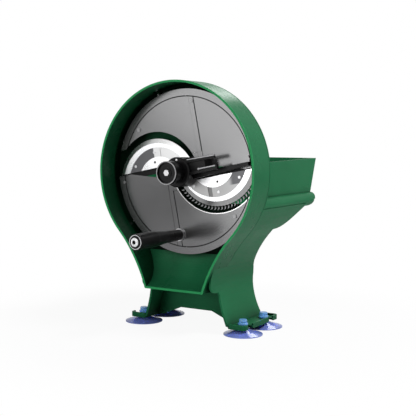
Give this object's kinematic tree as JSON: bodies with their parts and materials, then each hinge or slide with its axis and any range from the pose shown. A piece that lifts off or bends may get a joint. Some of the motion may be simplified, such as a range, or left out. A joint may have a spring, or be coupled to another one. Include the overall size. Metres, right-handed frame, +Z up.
{
  "type": "hand cranked bean slicer",
  "caption": "Bean slicer with a round drum on splayed legs with suction cups, a cranked disc with serrated blades, a front chute and a rear feed trough.",
  "frame": {"origin": "middle of the whole machine's box at table height", "axes": "+Z up, the crank and the chute face -Y, the feed trough is at +Y, and the crank shaft lies along Y"},
  "size_m": [0.26, 0.319, 0.36],
  "materials": {
    "green_shell": "smooth moulded plastic with a soft sheen",
    "clear_violet": "soft tinted vinyl, smooth",
    "black_plastic": "fine grained moulded plastic",
    "disc_grey": "fine satin cast metal",
    "blade_steel": "ground and polished",
    "bush_plastic": "smooth bearing plastic",
    "steel": "plated, lightly brushed"
  },
  "bodies": {
    "housing": {"drum_shell": "green_shell", "rear_housing": "green_shell", "chute_slide": "green_shell", "left_leg": "green_shell", "right_leg": "green_shell", "base_apron": "green_shell", "feed_trough": "green_shell", "shaft_cover": "green_shell", "shaft_bush": "bush_plastic", "housing_screws": "steel", "front_left_cup": "clear_violet", "front_right_cup": "clear_violet", "rear_left_cup": "clear_violet", "rear_right_cup": "clear_violet"},
    "cutter": {"crank_shaft": "steel", "shaft_spacer": "steel", "rear_washer": "steel", "rear_nut": "steel", "disc_spider": "black_plastic", "hub_bracket": "black_plastic", "hub_screw": "steel", "fork_rods": "steel", "hub_knob": "black_plastic", "hub_ring": "steel", "hub_nut": "steel", "upper_plate": "disc_grey", "lower_plate": "disc_grey", "left_blade": "blade_steel", "right_blade": "blade_steel", "left_clamp": "blade_steel", "right_clamp": "blade_steel", "blade_rivets": "steel", "plate_screws": "steel", "upper_flap_pin": "steel", "lower_flap_pin": "steel", "handle_bolt": "steel", "handle_washer": "steel", "handle_nut": "steel"},
    "grip": {"handle_grip": "black_plastic", "grip_ring": "steel"},
    "upper_leaf": {"upper_flap": "disc_grey", "upper_flap_screw": "steel"},
    "lower_leaf": {"lower_flap": "disc_grey", "lower_flap_screw": "steel"}
  },
  "joints": [
    {"name": "crank_turn", "type": "hinge", "parent": "housing", "child": "cutter", "pos_m": [0, -0.0325, 0.23], "axis": [0, 1, 0], "continuous": true},
    {"name": "grip_spin", "type": "hinge", "parent": "cutter", "child": "grip", "pos_m": [-0.00988, -0.1105, 0.13834], "axis": [0, 1, 0], "continuous": true},
    {"name": "upper_leaf_tilt", "type": "hinge", "parent": "cutter", "child": "upper_leaf", "pos_m": [0.00796, -0.0459, 0.29274], "axis": [-0.1942, 0, 0.981], "range_deg": [0, 3.5]},
    {"name": "lower_leaf_tilt", "type": "hinge", "parent": "cutter", "child": "lower_leaf", "pos_m": [-0.00796, -0.0459, 0.16726], "axis": [0.1942, 0, -0.981], "range_deg": [0, 3.5]}
  ]
}
